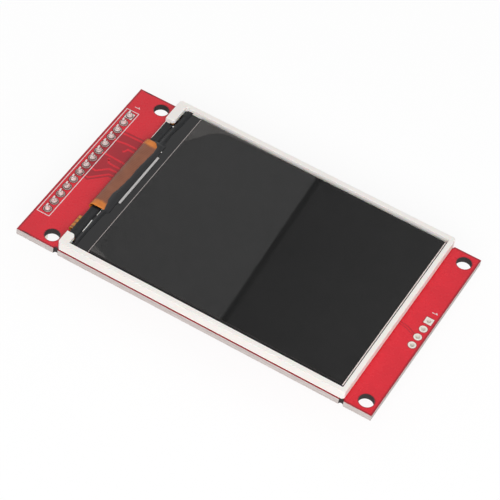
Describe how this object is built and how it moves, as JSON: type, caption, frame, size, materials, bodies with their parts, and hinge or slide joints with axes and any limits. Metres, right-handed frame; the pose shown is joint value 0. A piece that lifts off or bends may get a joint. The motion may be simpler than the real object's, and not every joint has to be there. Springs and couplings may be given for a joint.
{
  "type": "tft display module",
  "caption": "Rectangular circuit board that carries a framed flat colour display on its front, with a pin header at one end and a memory card socket and small parts on its back.",
  "frame": {"origin": "middle of the four corner holes, on the front face of the circuit board", "axes": "+X along the board from the header end to the card pad end, +Y across it, +Z out of the display's face"},
  "size_m": [0.086, 0.05, 0.0129],
  "materials": {
    "solder_mask": "glossy red solder mask over glass-epoxy board",
    "tinned_copper": "tinned copper pad",
    "solder": "bright solder",
    "header_plastic": "black moulded plastic",
    "pin_plate": "thin gold flash on brass",
    "foam_tape": "black double-sided foam tape",
    "frame_plastic": "white moulded plastic",
    "reflector": "white mirror film",
    "clear_plastic": "clear acrylic",
    "diffuser": "milky film",
    "prism_film": "fine ribbed film",
    "polyimide": "amber polyimide film over copper",
    "lamp": "white lamp body with yellow phosphor",
    "black_tape": "black polyester tape",
    "polarizer": "dark polarizer film",
    "panel_glass": "thin display glass",
    "silicon": "polished silicon",
    "film": "clear protective film",
    "sealant": "black sealing bead",
    "socket_plastic": "black moulded plastic",
    "shell_steel": "tin-plated sheet steel",
    "spring_bronze": "gold-flashed spring bronze",
    "epoxy": "black moulded epoxy",
    "lead_tin": "tinned lead frame",
    "resistor_ceramic": "black glazed ceramic",
    "capacitor_ceramic": "fired tan ceramic"
  },
  "bodies": {
    "root": {"circuit_board": "solder_mask", "header_pads": "tinned_copper", "card_pads": "tinned_copper", "flex_pads": "tinned_copper", "header_strip": "header_plastic", "header_pins": "pin_plate", "header_solder": "solder", "mounting_tape": "foam_tape", "display_frame": "frame_plastic", "reflector_sheet": "reflector", "light_guide": "clear_plastic", "diffuser_sheet": "diffuser", "lower_prism_sheet": "prism_film", "upper_prism_sheet": "prism_film", "backlight_flex": "polyimide", "backlight_leds": "lamp", "light_shield_tape": "black_tape", "rim_tape": "black_tape", "rear_polarizer": "polarizer", "rear_glass": "panel_glass", "driver_chip": "silicon", "front_glass": "panel_glass", "front_polarizer": "polarizer", "protective_film": "film", "display_flex": "polyimide", "flex_sealant": "sealant", "socket_base": "socket_plastic", "socket_shell": "shell_steel", "socket_contacts": "spring_bronze", "card_detect_spring": "spring_bronze", "regulator_body": "epoxy", "regulator_leads": "lead_tin", "transistor_body": "epoxy", "transistor_leads": "lead_tin", "resistor_bodies": "resistor_ceramic", "capacitor_bodies": "capacitor_ceramic", "chip_terminals": "lead_tin"}
  },
  "joints": []
}
